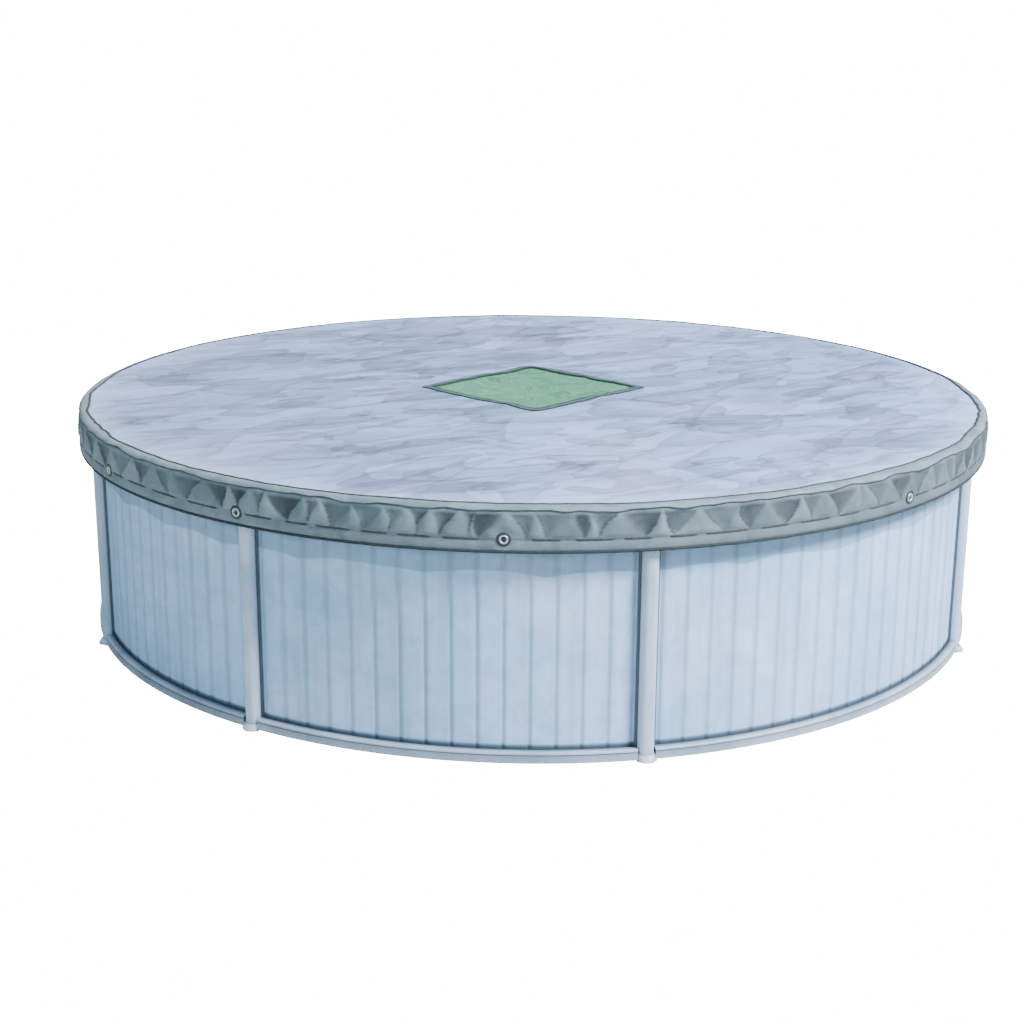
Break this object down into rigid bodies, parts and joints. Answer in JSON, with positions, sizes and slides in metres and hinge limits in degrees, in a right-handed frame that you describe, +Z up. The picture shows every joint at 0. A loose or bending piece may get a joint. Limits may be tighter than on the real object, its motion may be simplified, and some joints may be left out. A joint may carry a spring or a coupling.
{
  "type": "covered round above-ground pool",
  "caption": "Round steel-wall pool with ribbed wall, uprights and base track, under a fitted fabric winter cover with a cinched hem, eyelets and a square mesh drain panel.",
  "frame": {"origin": "centre of the pool on the ground, under the feet", "axes": "+Z up; -Y is the front; the cable's winch is at the back, +Y"},
  "size_m": [3.796, 3.8298, 0.9264],
  "materials": {
    "painted_wall_steel": "satin baked enamel",
    "trim_steel": "satin powder coat",
    "cap_plastic": "matte moulded resin",
    "liner_vinyl": "smooth vinyl sheet",
    "cover_sheet": "woven, coated, soft sheen",
    "cover_skirt": "woven, coated, matte",
    "drain_mesh": "open plastic weave",
    "webbing": "woven tape",
    "eyelet_metal": "rolled, satin",
    "cable_jacket": "extruded vinyl jacket",
    "zinc_plate": "zinc plated"
  },
  "bodies": {
    "pool": {"base_track_1": "trim_steel", "base_track_2": "trim_steel", "base_track_3": "trim_steel", "base_track_4": "trim_steel", "base_track_5": "trim_steel", "base_track_6": "trim_steel", "base_track_7": "trim_steel", "base_track_8": "trim_steel", "foot_1": "trim_steel", "foot_2": "trim_steel", "foot_3": "trim_steel", "foot_4": "trim_steel", "foot_5": "trim_steel", "foot_6": "trim_steel", "foot_7": "trim_steel", "foot_8": "trim_steel", "upright_1": "trim_steel", "upright_2": "trim_steel", "upright_3": "trim_steel", "upright_4": "trim_steel", "upright_5": "trim_steel", "upright_6": "trim_steel", "upright_7": "trim_steel", "upright_8": "trim_steel", "ledge_1": "trim_steel", "ledge_2": "trim_steel", "ledge_3": "trim_steel", "ledge_4": "trim_steel", "ledge_5": "trim_steel", "ledge_6": "trim_steel", "ledge_7": "trim_steel", "ledge_8": "trim_steel", "ledge_cap_1": "cap_plastic", "ledge_cap_2": "cap_plastic", "ledge_cap_3": "cap_plastic", "ledge_cap_4": "cap_plastic", "ledge_cap_5": "cap_plastic", "ledge_cap_6": "cap_plastic", "ledge_cap_7": "cap_plastic", "ledge_cap_8": "cap_plastic", "wall": "painted_wall_steel", "liner_wall": "liner_vinyl", "liner_floor": "liner_vinyl"},
    "cover": {"cover_top": "cover_sheet", "rim_band": "cover_skirt", "cover_skirt": "cover_skirt", "hem_facing": "cover_skirt", "drain_panel": "drain_mesh", "panel_binding": "webbing", "grommet_1": "eyelet_metal", "grommet_2": "eyelet_metal", "grommet_3": "eyelet_metal", "grommet_4": "eyelet_metal", "grommet_5": "eyelet_metal", "grommet_6": "eyelet_metal", "grommet_7": "eyelet_metal", "cinch_cable": "cable_jacket", "winch_frame": "zinc_plate"},
    "spool": {"winch_spool": "zinc_plate"},
    "pawl": {"winch_pawl": "zinc_plate"}
  },
  "joints": [
    {"name": "cover_lift", "type": "slide", "parent": "pool", "child": "cover", "axis": [0, 0, 1], "range_m": [0, 0.5]},
    {"name": "spool_turn", "type": "hinge", "parent": "cover", "child": "spool", "pos_m": [-0.014, 1.912, 0.79], "axis": [0, 0, 1], "continuous": true},
    {"name": "pawl_click", "type": "hinge", "parent": "cover", "child": "pawl", "pos_m": [0.0036, 1.922, 0.8085], "axis": [0, 0, -1], "range_deg": [0, 30], "stiffness_Nm_per_rad": 0.01, "springref_deg": -5.73}
  ]
}
